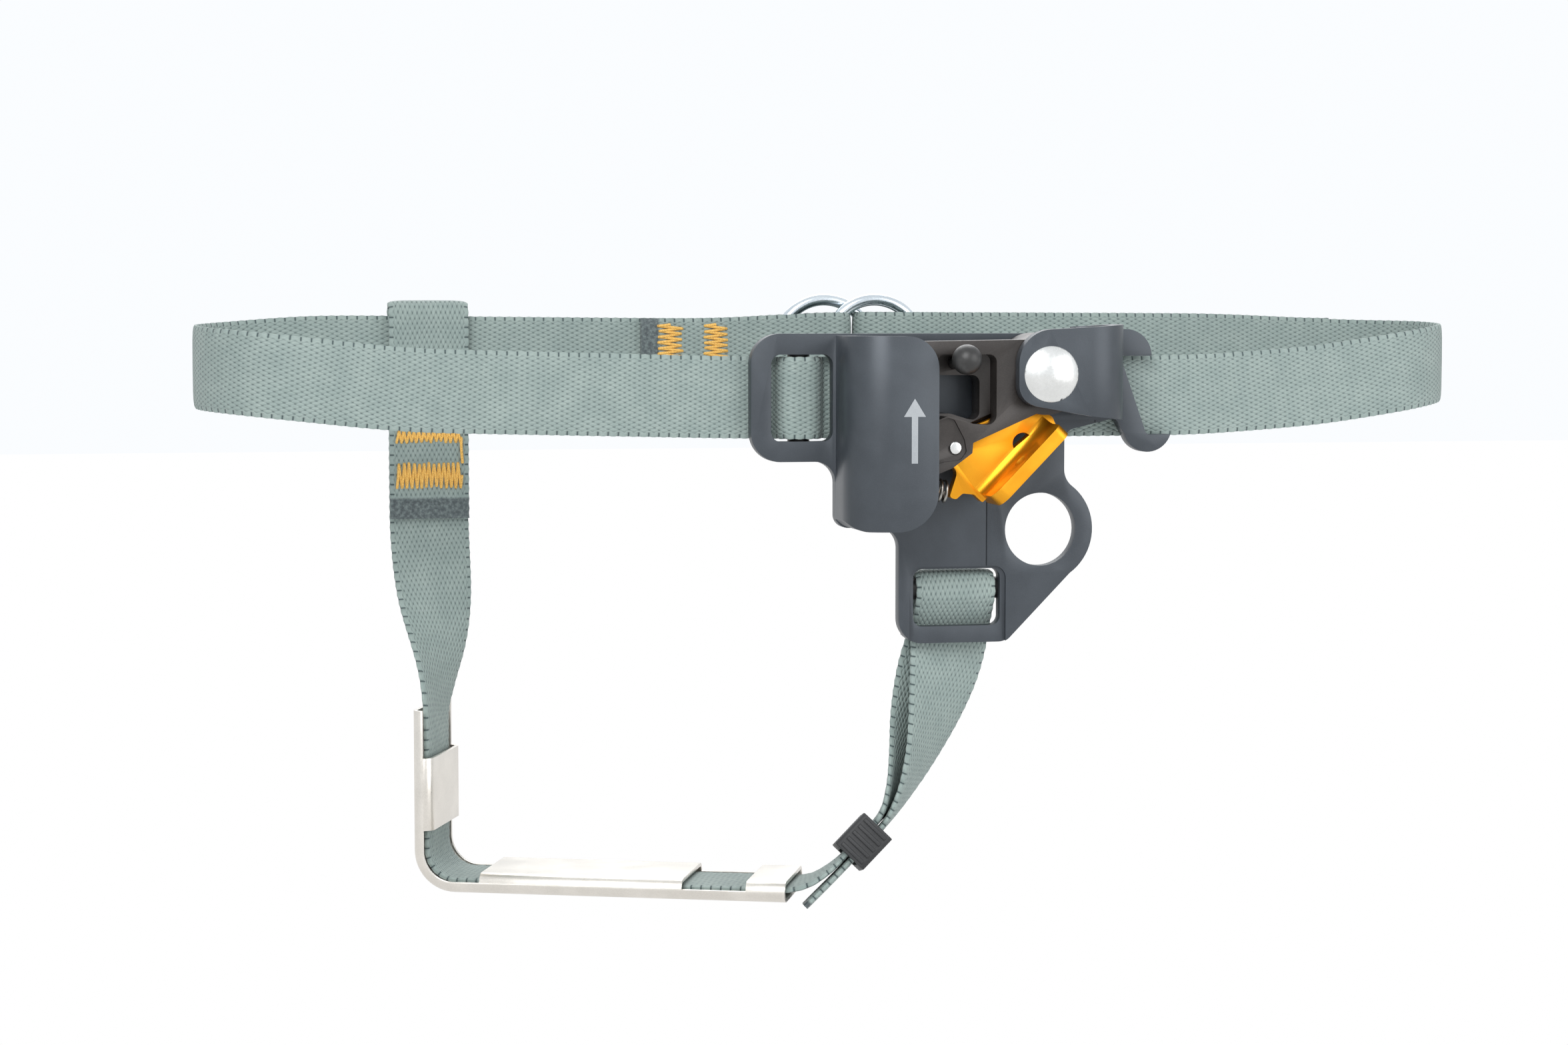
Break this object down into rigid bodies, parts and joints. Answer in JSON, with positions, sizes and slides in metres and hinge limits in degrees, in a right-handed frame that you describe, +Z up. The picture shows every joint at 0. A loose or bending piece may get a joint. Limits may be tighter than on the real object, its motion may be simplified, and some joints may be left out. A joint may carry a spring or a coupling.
{
  "type": "foot ascender",
  "caption": "Rope ascender for a foot: folded metal frame with a toothed cam and trigger lever, an ankle belt with a ring buckle, and a strap stirrup with a metal sole.",
  "frame": {"origin": "on the rope axis, at half the height of the rope channel", "axes": "+Z up along the rope, +X from the closed side of the channel towards the cam pivot, +Y from the open front to the back plate and the ankle"},
  "size_m": [0.3102, 0.0777, 0.1492],
  "materials": {
    "frame": "slate anodised satin",
    "rivet": "polished head",
    "washer": "black",
    "cam": "brown-dark satin cast steel",
    "spring": "drawn wire",
    "lever": "gold anodised",
    "knob": "black satin",
    "lock_bar": "black",
    "webbing": "grey-green tubular weave",
    "thread": "golden stitching",
    "ring": "bright drawn wire",
    "sole": "bright satin",
    "keeper": "black moulded, ribbed sides"
  },
  "bodies": {
    "frame": {"frame_body": "frame", "pivot_rivet": "rivet", "pivot_washer_front": "washer", "pivot_washer_rear": "washer", "tab_lock_bar": "lock_bar", "lower_lock_bar": "lock_bar", "belt_webbing": "webbing", "belt_bartacks": "thread"},
    "cam": {"cam": "cam", "cam_spring": "spring", "trigger_pin": "rivet", "knob_stem": "rivet", "cam_knob": "knob"},
    "trigger": {"trigger_lever": "lever", "trigger_spring": "spring"},
    "ring_rear": {"buckle_ring_rear": "ring"},
    "ring_front": {"buckle_ring_front": "ring"},
    "stirrup": {"stirrup_webbing": "webbing", "stirrup_bartacks": "thread", "sole_plate": "sole"},
    "keeper": {"strap_keeper": "keeper"}
  },
  "joints": [
    {"name": "cam_pivot", "type": "hinge", "parent": "frame", "child": "cam", "pos_m": [0.0374, 0, 0.0145], "axis": [0, 1, 0], "range_deg": [-25, 0], "stiffness_Nm_per_rad": 0.03, "springref_deg": 20.05, "deforming": ["cam_spring"]},
    {"name": "trigger_pivot", "type": "hinge", "parent": "cam", "child": "trigger", "pos_m": [0.0156, 0, -0.0027], "axis": [0, 1, 0], "range_deg": [0, 12], "stiffness_Nm_per_rad": 0.01, "springref_deg": -11.46, "deforming": ["trigger_spring"]},
    {"name": "ring_rear_spin", "type": "hinge", "parent": "frame", "child": "ring_rear", "pos_m": [-0.0014, 0.05865, 0.0204], "axis": [0, 1, 0], "continuous": true},
    {"name": "ring_front_spin", "type": "hinge", "parent": "frame", "child": "ring_front", "pos_m": [0.0108, 0.05535, 0.0204], "axis": [0, 1, 0], "continuous": true},
    {"name": "stirrup_swing", "type": "hinge", "parent": "frame", "child": "stirrup", "pos_m": [-0.101, 0.0579, 0.018], "axis": [0.8609, -0.3231, -0.393], "range_deg": [-10, 10], "deforming": ["stirrup_webbing"]},
    {"name": "keeper_slide", "type": "slide", "parent": "stirrup", "child": "keeper", "axis": [-0.7061, 0, -0.7081], "range_m": [-0.004, 0.004]}
  ]
}
